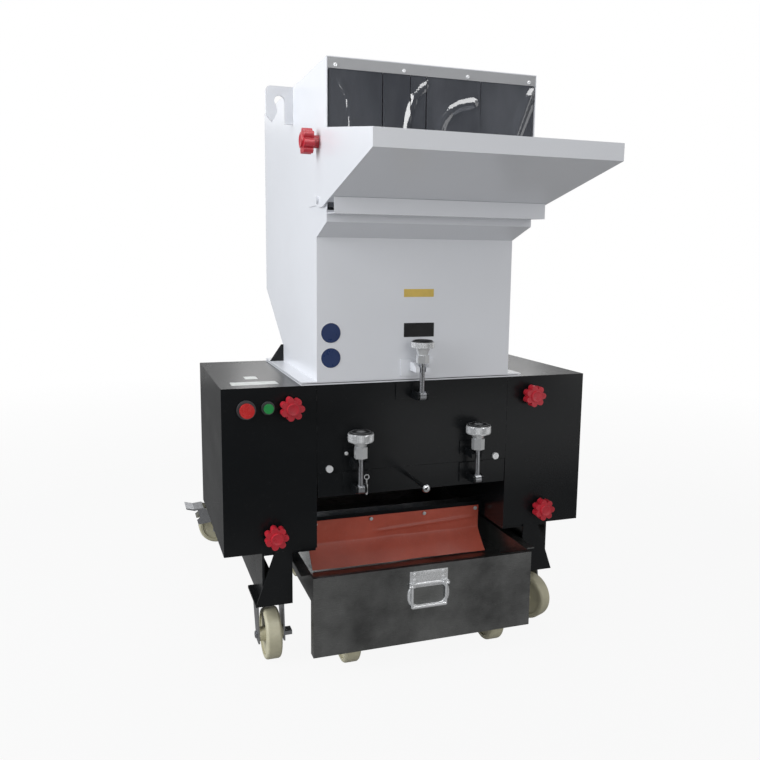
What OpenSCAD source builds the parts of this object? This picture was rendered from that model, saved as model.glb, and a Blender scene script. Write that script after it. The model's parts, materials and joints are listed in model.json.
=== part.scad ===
// Plastic granulator on casters: hopper with feed tray over a cutting chamber, bin under it.
// X runs to the right, Y to the back, Z up. The origin is on the floor under the middle.

/* [Base frame] */
// Half width over the square side rails
rail_out = 383; // [360:1:420]
// Section of the square side rails
rail_w = 40; // [30:1:50]
// Height of the casters under the frame
caster_h = 158; // [150:1:180]
// Height of the base frame's top
base_top = 292; // [275:1:320]
// Rear end of the base behind the machine's front
base_rear = 950; // [900:5:1050]
// Thickness of the base's plates
plate_t = 8; // [5:1:10]
// Half width over the feet
foot_out = 400; // [390:1:430]
// Depth of a foot plate
foot_d = 115; // [80:1:130]
// Half width over the legs at their top
leg_top_out = 353; // [330:1:380]
// Half width between the legs
leg_in = 311; // [295:1:325]
// Thickness of the leg plates
leg_t = 5; // [3:1:8]
// Height of the cross bar over the bin
bar_h = 30; // [20:1:34]
// Front of the cross bar
bar_y = 132; // [110:1:150]

/* [Casing] */
// Half width over the covers
case_half_w = 472.5; // [440:0.5:520]
// Depth of the covers
case_d = 461; // [455:1:480]
// Height of the covers' top
case_top = 690; // [690:1:700]
// Wall of the covers
cover_t = 3; // [2:0.5:5]
// Half width of the middle front
centre_w = 250; // [248:0.5:252]
// Half width of the belt tunnel behind the right cover
tunnel_w = 58; // [50:1:65]
// Height of the belt tunnel's top
tunnel_top = 640; // [620:1:660]
// Rear end of the belt tunnel
tunnel_rear = 800; // [790:5:860]

/* [Chamber] */
// Thickness of the side plates
side_t = 20; // [12:1:24]
// Thickness of the front and rear walls
wall_t = 20; // [12:1:24]
// Height of the joint between chamber and screen cradle
split_z = 477; // [470:1:484]
// Rotor axis behind the front
rotor_y = 235; // [230:1:240]
// Rotor axis above the floor
rotor_z = 560; // [556:1:562]
// Radius of the knives' cutting circle
tip_r = 122; // [110:1:124]
// Radius of the rotor shaft
shaft_r = 30; // [22:1:34]
// Number of knife carriers on the rotor
carriers = 9; // [5:2:11]
// Thickness of one knife carrier
carrier_t = 26; // [16:1:30]
// Inner radius of the screen
screen_r = 130; // [129:1:134]
// Thickness of the screen
screen_t = 4; // [3:1:6]
// Height of the light flange on the chamber
flange_t = 3; // [2:0.5:3.5]
// Half width of the light flanges
flange_half_w = 287; // [275:1:300]
// Depth of the light flanges
flange_d = 455; // [440:1:458]
// Radius of the cradle's flywheel and pulley
wheel_r = 112; // [90:1:118]
// Lowest line of the cradle's front flange
cradle_low_z = 416.5; // [410:0.5:425]
// Length of the cradle's pull rod
pull_l = 127; // [80:1:160]

/* [Hopper] */
// Half width of the hopper
hopper_w = 249.5; // [240:0.5:250]
// Sheet of the hopper
sheet_t = 2; // [1.5:0.5:3]
// Height of the hopper's top
hopper_top = 1406; // [1380:1:1450]
// Height of the joint between hopper and chamber
neck_z = 698; // [696:0.5:700]
// Overhang of the hood in front of the chamber
hood_front = 90; // [70:1:110]
// Height of the hood's front lower edge
hood_low_z = 1063; // [1040:1:1075]
// Height where the hood's slope meets the neck
slope_z = 1032; // [1010:1:1050]
// Depth of the hood's top behind the front
hood_rear = 637; // [600:1:660]
// Height of the hood's rear lower corner
rear_low_z = 890; // [860:1:920]
// Depth of the neck
neck_d = 392; // [370:1:410]
// Height of the neck's rear corner
neck_rear_z = 742; // [735:1:760]
// Height of the mouth's sill
sill_z = 1088; // [1080:1:1092]
// Height of the clamp strip over the mouth
strip_h = 22; // [16:1:30]

/* [Feed tray] */
// Front of the tray's lip
tray_front = 430; // [380:1:460]
// Lower line of the lip
lip_low_z = 1177.5; // [1165:0.5:1190]
// Height of the lip
lip_h = 34; // [24:1:45]
// Outer half width of the tray
tray_half_w = 256.3; // [256:0.1:257]
// Sheet of the tray
tray_t = 2.5; // [2:0.5:3]
// Tray pivot in front of the machine's front
tray_pivot_y = 39; // [30:1:45]
// Height of the tray pivot
tray_pivot_z = 1112; // [1106:1:1118]
// Rear end of the tray's floor in front of the machine's front
tray_rear = 110; // [106:1:130]
// Height of the wing over the pivot
wing_top_z = 1270; // [1250:1:1290]

/* [Clamps and knobs] */
// Distance of the swing bolts in front of the front
bolt_y = 38; // [36:1:40]
// Side distance of the cradle's swing bolts
bolt_x = 153; // [140:1:165]
// Radius of a swing bolt's shank
shank_r = 6; // [5:0.5:7]
// Height of the cradle bolts' pivots
low_pivot_z = 441; // [436:1:446]
// Height of the hopper bolt's pivot
top_pivot_z = 659; // [655:1:665]
// Length from pivot to nut on the cradle bolts
low_reach = 76; // [74:1:80]
// Length from pivot to nut on the hopper bolt
top_reach = 80; // [78:1:84]
// Width over the flats of a clamp nut
nut_w = 28; // [22:1:30]
// Outer radius of a cradle knob
low_knob_r = 30; // [24:1:32]
// Outer radius of the hopper knob
top_knob_r = 27; // [22:1:30]
// Overall radius of a star knob
star_r = 28; // [22:1:32]
// Lobes of a star knob
star_lobes = 7; // [5:1:9]
// Radius of a star knob's stud
stud_r = 5; // [4:0.5:6]

/* [Push buttons] */
// Outer radius of the red button's bezel
red_bezel_r = 22; // [18:0.5:25]
// Outer radius of the green button's bezel
green_bezel_r = 15.5; // [13:0.5:18]
// Travel of a push button
press = 4; // [2:0.5:5]

/* [Bin] */
// Half width of the bin
bin_w = 283; // [270:1:290]
// Front of the bin in front of the machine's front
bin_front = 95; // [60:1:110]
// Rear end of the bin
bin_rear = 600; // [560:5:620]
// Lower edge of the bin's apron
apron_low_z = 60; // [50:1:75]
// Height of the bin's rim
bin_top = 255; // [245:1:262]
// Height of the bin's floor
bin_floor_z = 192; // [190:1:196]
// Sheet of the bin
bin_t = 3; // [2:0.5:4]
// Half width over the bin's rims
rim_w = 305; // [300:1:308]
// Depth of the apron's side returns
return_d = 25; // [15:1:35]

/* [Casters] */
// Radius of a caster wheel
caster_r = 62.5; // [55:0.5:65]
// Width of a caster wheel
caster_w = 38; // [30:1:42]
// Trail of the swivel casters
trail = 30; // [24:1:34]
// Swivel axis of the front casters behind the front
front_pin_y = 88; // [75:1:95]
// Swivel axis of the rear casters behind the front
rear_pin_y = 905; // [890:1:910]
// Side distance of the swivel axes
pin_x = 355; // [350:1:360]

/* [Motor] */
// Motor axis behind the front
motor_y = 680; // [660:1:690]
// Height of the motor axis over its plate
motor_h = 132; // [112:1:140]
// Radius of the motor's body
motor_r = 118; // [100:1:124]

/* [Hidden] */
$fn = 64;
overrun = 1;
seat_gap = 0.3;
run_gap = 0.05;
middle_y = (base_rear - tray_front) / 2;
black = "#17191b";
white = "#e4e6ea";
silver = "#c4c6c8";
steel = "#8a8d90";
red = "#d02838";
cream = "#dcdcc0";

// Shapes given by the ranges they fill
module placed() {
    translate([0, -middle_y, 0]) children();
}
module both() {
    children();
    mirror([1, 0, 0]) children();
}
module block(x, y, z) {
    translate([x[0], y[0], z[0]]) cube([x[1] - x[0], y[1] - y[0], z[1] - z[0]]);
}
module rod_x(r, x, y, z) {
    translate([x[0], y, z]) rotate([0, 90, 0]) cylinder(r = r, h = x[1] - x[0]);
}
module rod_y(r, x, y, z) {
    translate([x, y[0], z]) rotate([-90, 0, 0]) cylinder(r = r, h = y[1] - y[0]);
}
module rod_z(r, x, y, z) {
    translate([x, y, z[0]]) cylinder(r = r, h = z[1] - z[0]);
}
// A side outline in Y and Z, filled from x[0] to x[1]
module side_plate(x, outline) {
    translate([x[0], 0, 0]) rotate([90, 0, 90]) linear_extrude(x[1] - x[0]) polygon(outline);
}
// A front outline in X and Z, filled from y[0] to y[1]
module front_plate(y, outline) {
    translate([0, y[1], 0]) rotate([90, 0, 0]) linear_extrude(y[1] - y[0]) polygon(outline);
}
// An outline drawn in by one sheet
function unit(v) = v / norm(v);
function inward(a, b) = let (d = unit(b - a)) [-d.y, d.x];
function corner(a, b, c, t) =
    let (n1 = inward(a, b), n2 = inward(b, c)) b + t / (1 + n1 * n2) * (n1 + n2);
function inset(p, t) =
    let (n = len(p)) [for (i = [0:n - 1]) corner(p[(i + n - 1) % n], p[i], p[(i + 1) % n], t)];

// Base
rail_z = caster_h + 1;
foot_top = rail_z + plate_t;
strip_in = centre_w + 2;
cradle_axis_y = case_d - 6;
cradle_axis_z = split_z + 3;
motor_plate_y = cradle_axis_y + 30;
tie_y = base_rear - 4 * rail_w;

module base_rails() {
    color(black) placed() {
        both() {
            block([rail_out - rail_w, rail_out], [leg_t, base_rear - leg_t], [rail_z, rail_z + rail_w]);
            block([rail_out - leg_t, rail_out], [leg_t, base_rear - leg_t],
                [rail_z + rail_w, base_top - plate_t]);
            block([strip_in, rail_out], [leg_t, base_rear - leg_t], [base_top - plate_t, base_top]);
        }
        for (y = [tie_y, base_rear - leg_t - rail_w])
            block([rail_w - rail_out, rail_out - rail_w], [y, y + rail_w], [rail_z + leg_t, rail_z + rail_w]);
        block([-strip_in, strip_in], [motor_plate_y, base_rear - leg_t], [base_top - plate_t, base_top]);
        block([leg_t - rail_out, rail_out - leg_t], [bar_y, bar_y + rail_w],
            [base_top, base_top + bar_h]);
    }
}

// Legs, feet and the plates that the casters turn in
swivel_plate_t = 6;
swivel_plate = [84, 96];
kingpin_r = 10;
module leg_outline(y) {
    both() front_plate(y, [[leg_in, rail_z], [foot_out, rail_z], [leg_top_out, base_top],
        [leg_in, base_top]]);
}
module leg_plates() {
    color(black) placed() {
        leg_outline([0, leg_t]);
        leg_outline([base_rear - leg_t, base_rear]);
        for (y = [leg_t, base_rear - leg_t - foot_d])
            both() difference() {
                block([leg_in, foot_out], [y, y + foot_d], [rail_z, rail_z + leg_t]);
                block([rail_out - rail_w - overrun, rail_out + seat_gap], [y - overrun, y + foot_d + overrun],
                    [rail_z - overrun, rail_z + leg_t + overrun]);
            }
        for (y = [front_pin_y, rear_pin_y])
            both() difference() {
                block([pin_x - swivel_plate.x / 2, pin_x + swivel_plate.x / 2],
                    [y - swivel_plate.y / 2, min(y + swivel_plate.y / 2, base_rear)],
                    [rail_z - swivel_plate_t, rail_z]);
                rod_z(kingpin_r + run_gap, pin_x, y, [rail_z - swivel_plate_t - overrun, rail_z + overrun]);
            }
    }
}

// Cutting chamber
plate_in = centre_w + 2;
plate_out = plate_in + side_t;
rear_wall_y = case_d - wall_t;
side_top = case_top - cover_t - seat_gap;
cradle_barrel_r = 16;
rear_wall_z = cradle_axis_z + cradle_barrel_r + 1;
module chamber_walls() {
    color(black) placed() {
        both() difference() {
            block([plate_in, plate_out], [cover_t + 2, case_d - cover_t - 2], [base_top, side_top]);
            rod_x(shaft_r + 2, [plate_in - overrun, plate_out + overrun], rotor_y, rotor_z);
            block([plate_in - overrun, plate_out + overrun], [bar_y - seat_gap, bar_y + rail_w + seat_gap],
                [base_top - overrun, base_top + bar_h + seat_gap]);
        }
        block([-centre_w + seat_gap, centre_w - seat_gap], [0, wall_t],
            [split_z + seat_gap, case_top]);
        block([-centre_w, centre_w], [rear_wall_y, case_d - cover_t - 2], [rear_wall_z, case_top]);
        both() for (y = [[cover_t + 2, wall_t], [rear_wall_y, case_d - cover_t - 2]])
            block([centre_w - wall_t, plate_in], y, [rear_wall_z, side_top]);
    }
}
module chamber_flange() {
    color(white) placed() difference() {
        block([-flange_half_w, flange_half_w], [1, flange_d], [case_top, case_top + flange_t]);
        block([-centre_w + wall_t, centre_w - wall_t], [wall_t, rear_wall_y],
            [case_top - overrun, case_top + flange_t + overrun]);
    }
}
knife_gap = 1;
bed_t = 18;
knife_top = rotor_z + bed_t / 2;
module fixed_knives() {
    cut_y = tip_r + knife_gap;
    color(silver) placed() {
        side_plate([-centre_w + wall_t, centre_w - wall_t],
            [[wall_t, knife_top - bed_t], [rotor_y - cut_y - bed_t / 2, knife_top - bed_t],
             [rotor_y - cut_y, knife_top], [wall_t, knife_top]]);
        side_plate([-centre_w + wall_t, centre_w - wall_t],
            [[rear_wall_y, knife_top], [rotor_y + cut_y, knife_top],
             [rotor_y + cut_y + bed_t / 2, knife_top - bed_t], [rear_wall_y, knife_top - bed_t]]);
    }
}
bearing_w = 46;
bearing_r = 52;
bearing_foot = 66;
module bearing_housings() {
    color(steel) placed() both() difference() {
        union() {
            rod_x(bearing_r, [plate_out, plate_out + bearing_w], rotor_y, rotor_z);
            block([plate_out, plate_out + bearing_w / 3], [rotor_y - bearing_foot, rotor_y + bearing_foot],
                [rotor_z - bearing_foot, rotor_z + bearing_foot]);
        }
        rod_x(shaft_r + run_gap, [plate_out - overrun, plate_out + bearing_w + overrun], rotor_y, rotor_z);
        for (y = [-1, 1], z = [-1, 1])
            rod_x(stud_r, [plate_out - overrun, plate_out + bearing_w], rotor_y + y * (bearing_foot - 2 * stud_r),
                rotor_z + z * (bearing_foot - 2 * stud_r));
    }
}

// Covers
red_at = [-416, 640];
green_at = [-366, 642];
upper_knob = [314.5, 642];
lower_knob = [354, 337.5];
knob_hole = stud_r + 1;
sleeve_r = 12;
module cover_shell() {
    difference() {
        block([centre_w + seat_gap, case_half_w], [0, case_d], [base_top + seat_gap, case_top]);
        block([centre_w - overrun, case_half_w - cover_t], [cover_t, case_d - cover_t],
            [base_top - overrun, case_top - cover_t]);
        for (at = [upper_knob, lower_knob])
            rod_y(knob_hole, at[0], [-overrun, cover_t + overrun], at[1]);
    }
}
module left_cover() {
    color(black) placed() difference() {
        mirror([1, 0, 0]) cover_shell();
        for (at = [red_at, green_at])
            rod_y(sleeve_r + seat_gap, at[0], [-overrun, cover_t + overrun], at[1]);
    }
}
module right_cover() {
    tunnel_in = belt_x - tunnel_w;
    tunnel_out = belt_x + tunnel_w;
    color(black) placed() {
        difference() {
            cover_shell();
            block([tunnel_in + cover_t, tunnel_out - cover_t], [case_d - cover_t - overrun, case_d + overrun],
                [base_top - overrun, tunnel_top - cover_t]);
        }
        difference() {
            block([tunnel_in, tunnel_out], [case_d, tunnel_rear], [base_top + seat_gap, tunnel_top]);
            block([tunnel_in + cover_t, tunnel_out - cover_t], [case_d - overrun, tunnel_rear - cover_t],
                [base_top - overrun, tunnel_top - cover_t]);
            rod_x(shaft_r, [tunnel_in - overrun, tunnel_in + cover_t + overrun], motor_y, base_top + motor_h);
            block([tunnel_in - overrun, tunnel_in + cover_t + overrun], [motor_y - shaft_r, motor_y + shaft_r],
                [base_top - overrun, base_top + motor_h]);
        }
    }
}
stay_y = [cover_t + 9, cover_t + 19];
stay_w = 30;
module cover_stays() {
    color(black) placed() both() difference() {
        union() {
            block([plate_out, upper_knob[0] + stay_w / 2], stay_y,
                [upper_knob[1] - stay_w / 2, upper_knob[1] + stay_w / 2]);
            block([lower_knob[0] - stay_w / 2, lower_knob[0] + stay_w / 2], stay_y,
                [base_top, lower_knob[1] + stay_w / 2]);
        }
        for (at = [upper_knob, lower_knob])
            rod_y(stud_r + run_gap, at[0], [stay_y[0] - overrun, stay_y[1] + overrun], at[1]);
    }
}

// Push buttons
box_back = 96;
bezel_t = 6;
plunger_r = 8;
plunger_l = 18;
head_gap = press + 1;
module button_seat(at, bezel_r) {
    rod_y(bezel_r, at[0], [-bezel_t, 0], at[1]);
    rod_y(sleeve_r, at[0], [-bezel_t, cover_t + 2], at[1]);
}
module control_box() {
    margin = 34;
    color(steel) placed() difference() {
        union() {
            button_seat(red_at, red_bezel_r);
            button_seat(green_at, green_bezel_r);
            block([red_at[0] - margin, green_at[0] + margin], [cover_t + 1, box_back],
                [red_at[1] - margin, red_at[1] + margin]);
        }
        for (at = [red_at, green_at])
            rod_y(plunger_r + run_gap, at[0], [-bezel_t - overrun, cover_t + plunger_l + 2 * press], at[1]);
    }
}
module button(at, head_r, head_l) {
    rod_y(head_r, at[0], [-bezel_t - head_gap - head_l, -bezel_t - head_gap], at[1]);
    rod_y(plunger_r, at[0], [-bezel_t - head_gap - overrun, plunger_l], at[1]);
}
module red_button() {
    color("red") placed() button(red_at, red_bezel_r - 5, 8);
}
module green_button() {
    color("green") placed() button(green_at, green_bezel_r - 4, 3);
}

// Star knobs, turned about their own stud
hub_l = 14;
lobe_l = 22;
lobe_r = 8;
module star_knob(stud_l) {
    translate([0, 0, seat_gap]) cylinder(r = star_r / 2, h = hub_l);
    translate([0, 0, hub_l]) linear_extrude(lobe_l) {
        circle(star_r - lobe_r);
        for (i = [0:star_lobes - 1])
            rotate(i * 360 / star_lobes) translate([star_r - lobe_r, 0]) circle(lobe_r);
    }
    translate([0, 0, hub_l + lobe_l - overrun]) cylinder(r1 = star_r / 2, r2 = star_r / 3, h = 4);
    translate([0, 0, -stud_l]) cylinder(r = stud_r, h = stud_l + hub_l);
}
module cover_knob(at, side) {
    color(red) placed() translate([side * at[0], 0, at[1]]) rotate([90, 0, 0]) star_knob(stay_y[1]);
}
module cover_knob_upper_left() { cover_knob(upper_knob, -1); }
module cover_knob_upper_right() { cover_knob(upper_knob, 1); }
module cover_knob_lower_left() { cover_knob(lower_knob, -1); }
module cover_knob_lower_right() { cover_knob(lower_knob, 1); }

// Rotor
rotor_half = centre_w - wall_t - 4;
carrier_pitch = (2 * rotor_half - carrier_t) / (carriers - 1);
stagger = 120 / carriers;
knife_w = 16;
knife_l = 44;
shaft_end = plate_out + bearing_w + 64;
module about_rotor() {
    translate([0, rotor_y, rotor_z]) rotate([90, 0, 90]) children();
}
module rotor_shaft() {
    color(steel) placed() rod_x(shaft_r, [-shaft_end, shaft_end], rotor_y, rotor_z);
}
module rotor_carriers() {
    arm_w = 58;
    arm_r = tip_r - 8;
    color(steel) placed() about_rotor() difference() {
        union() {
            translate([0, 0, -rotor_half]) cylinder(r = shaft_r + 16, h = 2 * rotor_half);
            for (i = [0:carriers - 1])
                translate([0, 0, i * carrier_pitch - rotor_half]) linear_extrude(carrier_t)
                    rotate(i * stagger) for (a = [0:120:240]) rotate(a) difference() {
                        translate([0, -arm_w / 2]) square([arm_r, arm_w]);
                        translate([arm_r - knife_l, arm_w / 2 - knife_w]) square([knife_l + overrun, knife_w + overrun]);
                    }
        }
        translate([0, 0, -rotor_half - overrun]) cylinder(r = shaft_r + seat_gap / 3, h = 2 * rotor_half + 2);
    }
}
module rotor_knives() {
    arm_w = 58;
    arm_r = tip_r - 8;
    color(silver) placed() about_rotor() for (i = [0:carriers - 1])
        translate([0, 0, i * carrier_pitch - rotor_half]) linear_extrude(carrier_t)
            rotate(i * stagger) for (a = [0:120:240]) rotate(a) difference() {
                polygon([[arm_r - knife_l, arm_w / 2 - knife_w], [arm_r, arm_w / 2 - knife_w],
                    [tip_r - 5, arm_w / 2], [arm_r - knife_l, arm_w / 2]]);
            }
}
rim_t = 40;
disc_x = plate_out + bearing_w + 12;
module flywheel() {
    color(steel) placed() difference() {
        rod_x(wheel_r, [-disc_x - rim_t, -disc_x], rotor_y, rotor_z);
        rod_x(wheel_r - 16, [-disc_x - rim_t - overrun, -disc_x - rim_t / 2], rotor_y, rotor_z);
        rod_x(shaft_r + seat_gap / 3, [-disc_x - rim_t - overrun, -disc_x + overrun], rotor_y, rotor_z);
    }
}
belts = 2;
belt_w = 14;
belt_t = 9;
belt_pitch = 20;
pulley_w = belts * belt_pitch + 4;
motor_pulley_r = 70;
motor_z = base_top + motor_h;
motor_shaft_r = 19;
belt_x = disc_x + pulley_w / 2;
function belt_at(i) = disc_x + 2 + (i + 0.5) * belt_pitch;
module pulley(r, bore, y, z) {
    difference() {
        rod_x(r, [disc_x, disc_x + pulley_w], y, z);
        for (i = [0:belts - 1])
            difference() {
                rod_x(r + overrun, [belt_at(i) - belt_w / 2 - seat_gap, belt_at(i) + belt_w / 2 + seat_gap], y, z);
                rod_x(r - belt_t - seat_gap, [belt_at(i) - belt_w, belt_at(i) + belt_w], y, z);
            }
        rod_x(bore, [disc_x - overrun, disc_x + pulley_w + overrun], y, z);
    }
}
module rotor_pulley() {
    color(steel) placed() pulley(wheel_r, shaft_r + seat_gap / 3, rotor_y, rotor_z);
}
function belt_reach() = norm([motor_y - rotor_y, motor_z - rotor_z]);
// How far the straight runs sink into the two curves, so that they join without a touching edge
belt_tuck = 0.02;
// The loop round the two pulleys, from above the first pulley's centre
module belt_loop(r1, r2) {
    d = belt_reach();
    lean = acos((r1 - r2) / d);
    ra = r1 - belt_tuck;
    rb = r2 - belt_tuck;
    circle(r1);
    translate([d, 0]) circle(r2);
    polygon([[ra * cos(lean), -ra * sin(lean)], [d + rb * cos(lean), -rb * sin(lean)],
        [d + rb * cos(lean), rb * sin(lean)], [ra * cos(lean), ra * sin(lean)]]);
}
module drive_belts() {
    fall = atan2(motor_z - rotor_z, motor_y - rotor_y);
    color("#222222") placed() for (i = [0:belts - 1])
        translate([belt_at(i) - belt_w / 2, rotor_y, rotor_z]) rotate([90, 0, 90]) rotate(fall)
            linear_extrude(belt_w) difference() {
                belt_loop(wheel_r, motor_pulley_r);
                belt_loop(wheel_r - belt_t, motor_pulley_r - belt_t);
            }
}
motor_right = belt_x - tunnel_w - 40;
motor_l = 360;
motor_left = motor_right - motor_l;
module motor() {
    foot_w = 40;
    color("#3d5a73") placed() difference() {
        union() {
            rod_x(motor_r, [motor_left, motor_right], motor_y, motor_z);
            for (i = [0:11])
                rod_x(motor_r + 6, [motor_left + 60 + i * 22, motor_left + 66 + i * 22], motor_y, motor_z);
            for (x = [motor_left + 60, motor_right - 60 - foot_w])
                block([x, x + foot_w], [motor_y - motor_r, motor_y + motor_r], [base_top, motor_z]);
            block([motor_left + 130, motor_right - 130], [motor_y, motor_y + motor_r + 40],
                [motor_z - 10, motor_z + 70]);
        }
        rod_x(motor_shaft_r + run_gap, [motor_right - 60, motor_right + overrun], motor_y, motor_z);
    }
}
module motor_pulley() {
    color(steel) placed() {
        pulley(motor_pulley_r, motor_shaft_r - overrun, motor_y, motor_z);
        rod_x(motor_shaft_r, [motor_right - 60 + overrun, disc_x + pulley_w], motor_y, motor_z);
    }
}

// Screen cradle, hinged at the rear under the chamber
rib_t = 14;
rib_out = screen_r + screen_t + 16;
cradle_half = centre_w - 2;
cradle_pin_r = 8;
ear_x = [150, 166];
screen_top = rotor_z - 30;
module screen_cradle() {
    color(black) placed() difference() {
        union() {
            block([-cradle_half, cradle_half], [0, 10], [cradle_low_z, split_z - seat_gap]);
            both() for (x = [cradle_half - 40, 56]) rib(x);
            block([-cradle_half + 26, cradle_half - 26], [8, rotor_y - 112],
                [split_z - 14, split_z - 8]);
            rod_x(cradle_barrel_r, [-ear_x[0] + 1, ear_x[0] - 1], cradle_axis_y, cradle_axis_z);
            block([-cradle_half + 26, cradle_half - 26], [rotor_y + 108, rear_wall_y - wall_t],
                [cradle_axis_z - cradle_barrel_r, cradle_axis_z - 8]);
            block([-ear_x[0] + 1, ear_x[0] - 1], [rear_wall_y - wall_t - overrun, cradle_axis_y],
                [cradle_axis_z - cradle_barrel_r, cradle_axis_z - 8]);
            for (x = [-bolt_x, bolt_x]) {
                block([x - 33, x + 33], [-4, 0], [427, split_z - 2]);
                ears(x, low_pivot_z);
            }
        }
        rod_x(screen_r + screen_t + seat_gap, [-centre_w, centre_w], rotor_y, rotor_z);
        rod_x(cradle_pin_r + run_gap, [-centre_w, centre_w], cradle_axis_y, cradle_axis_z);
        rod_y(stud_r, -21, [-overrun, 10 + overrun], 457);
    }
}
module rib(x) {
    translate([x, 0, 0]) difference() {
        rod_x(rib_out, [0, rib_t], rotor_y, rotor_z);
        rod_x(screen_r + screen_t + seat_gap, [-overrun, rib_t + overrun], rotor_y, rotor_z);
        block([-overrun, rib_t + overrun], [rotor_y - rib_out - overrun, rotor_y + rib_out + overrun],
            [split_z - 4, rotor_z + rib_out]);
    }
}
module screen() {
    hole_r = 6;
    rows = 9;
    columns = 17;
    span = 110;
    color(silver) placed() difference() {
        rod_x(screen_r + screen_t, [-cradle_half + 24, cradle_half - 24], rotor_y, rotor_z);
        rod_x(screen_r, [-centre_w, centre_w], rotor_y, rotor_z);
        block([-centre_w, centre_w], [0, case_d], [screen_top, rotor_z + rib_out]);
        for (r = [0:rows - 1], c = [0:columns - 1])
            translate([(c - (columns - 1) / 2 + (r % 2) / 2) * 24, rotor_y, rotor_z])
                rotate([-span / 2 + r * span / (rows - 1), 0, 0])
                    translate([0, 0, -screen_r - screen_t - overrun]) cylinder(r = hole_r, h = screen_t + 2 * overrun, $fn = 6);
    }
}
module pull_rod() {
    ball_r = 10;
    color(silver) placed() {
        rod_y(stud_r, -21, [-pull_l, 10], 457);
        translate([-21, -pull_l, 457]) sphere(ball_r);
    }
}
module hinge_brackets() {
    color(black) placed() both() {
        difference() {
            union() {
                block(ear_x, [cradle_axis_y - 14, case_d - cover_t - 2], [cradle_axis_z - 14, rear_wall_z]);
                rod_x(14, ear_x, cradle_axis_y, cradle_axis_z);
            }
        }
        rod_x(cradle_pin_r, [ear_x[0] - 30, ear_x[1]], cradle_axis_y, cradle_axis_z);
        difference() {
            union() {
                block([hinge_x[0], hinge_x[1]], [case_d - cover_t - 2, hopper_axis_y], [hopper_axis_z - 44, hopper_axis_z]);
                rod_x(hinge_r, hinge_x, hopper_axis_y, hopper_axis_z);
            }
            rod_x(cradle_pin_r + run_gap, [hinge_x[0] - overrun, hinge_x[1] + overrun], hopper_axis_y, hopper_axis_z);
        }
    }
}

// Clamp brackets on the front
ear_gap = 8;
ear_t = 6;
prong_past = 4;
prong_tip = bolt_y + prong_past;
prong_w = 10;
prong_low = 22;
prong_mid = 11;
prong_rest = 1;
ear_r = 10;
module ears(x, z) {
    for (s = [-1, 1]) difference() {
        union() {
            block([x + s * (ear_gap + ear_t / 2) - ear_t / 2, x + s * (ear_gap + ear_t / 2) + ear_t / 2],
                [-bolt_y, 0], [z - ear_r, z + ear_r]);
            rod_x(ear_r, [x + s * (ear_gap + ear_t / 2) - ear_t / 2, x + s * (ear_gap + ear_t / 2) + ear_t / 2], -bolt_y, z);
        }
    }
    rod_x(stud_r, [x - ear_gap - ear_t, x + ear_gap + ear_t], -bolt_y, z);
}
// Prongs under a nut, with their tops sloped so that the nut swings clear
module prongs(x, z) {
    for (s = [-1, 1])
        side_plate([x + s * (ear_gap + prong_w / 2) - prong_w / 2, x + s * (ear_gap + prong_w / 2) + prong_w / 2],
            [[0, z - prong_low], [-prong_tip, z - prong_low], [-prong_tip, z - prong_mid],
             [-nut_w / 2 - prong_w, z - prong_rest], [0, z - prong_rest]]);
}
clamp_pad_t = 4;
low_pad_half_w = 33;
low_pad_below = 19;
low_pad_h = 34;
top_pad_half_w = 54;
top_pad_below = 11;
top_pad_drop = 1;
module clamp_brackets() {
    low_pad_z = low_pivot_z + low_reach - low_pad_below;
    color(black) placed() {
        for (x = [-bolt_x, bolt_x]) {
            block([x - low_pad_half_w, x + low_pad_half_w], [-clamp_pad_t, 0], [low_pad_z, low_pad_z + low_pad_h]);
            translate([0, -seat_gap, 0]) prongs(x, low_pivot_z + low_reach);
        }
        block([-top_pad_half_w, top_pad_half_w], [-clamp_pad_t, 0],
            [top_pivot_z - top_pad_below, case_top - top_pad_drop]);
        ears(0, top_pivot_z);
    }
}
module swing_bolt(x, z, reach, knob_l) {
    difference() {
        union() {
            rod_x(11, [x - ear_gap + seat_gap, x + ear_gap - seat_gap], -bolt_y, z);
            rod_z(shank_r, x, -bolt_y, [z, z + reach + knob_l - 6]);
        }
        rod_x(stud_r + run_gap, [x - ear_gap - overrun, x + ear_gap + overrun], -bolt_y, z);
    }
}
module clamp_knob(x, z, nut_h, hub_h, ring_h, ring_r) {
    difference() {
        union() {
            translate([x, -bolt_y, z]) rotate(30) cylinder(r = nut_w / sqrt(3), h = nut_h, $fn = 6);
            translate([x, -bolt_y, z + nut_h - overrun])
                cylinder(r1 = nut_w / 2.4, r2 = ring_r * 0.7, h = hub_h + 2 * overrun);
            rod_z(ring_r, x, -bolt_y, [z + nut_h + hub_h, z + nut_h + hub_h + ring_h]);
            rod_z(ring_r * 0.8, x, -bolt_y, [z + nut_h + hub_h + ring_h - overrun, z + nut_h + hub_h + ring_h + 3]);
        }
        rod_z(shank_r + run_gap, x, -bolt_y, [z - overrun, z + nut_h + hub_h + ring_h - 5]);
    }
}
low_nut = [27, 14, 20];
top_nut = [19, 18, 14];
function knob_len(n) = n[0] + n[1] + n[2];
module top_bolt() { color(steel) placed() swing_bolt(0, top_pivot_z, top_reach, knob_len(top_nut)); }
module left_bolt() { color(steel) placed() swing_bolt(-bolt_x, low_pivot_z, low_reach, knob_len(low_nut)); }
module right_bolt() { color(steel) placed() swing_bolt(bolt_x, low_pivot_z, low_reach, knob_len(low_nut)); }
module low_clamp(x) {
    color(silver) placed()
        clamp_knob(x, low_pivot_z + low_reach, low_nut[0], low_nut[1], low_nut[2], low_knob_r);
}
module left_knob() { low_clamp(-bolt_x); }
module right_knob() { low_clamp(bolt_x); }
module top_knob() {
    color(silver) placed()
        clamp_knob(0, top_pivot_z + top_reach, top_nut[0], top_nut[1], top_nut[2], top_knob_r);
}
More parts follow.
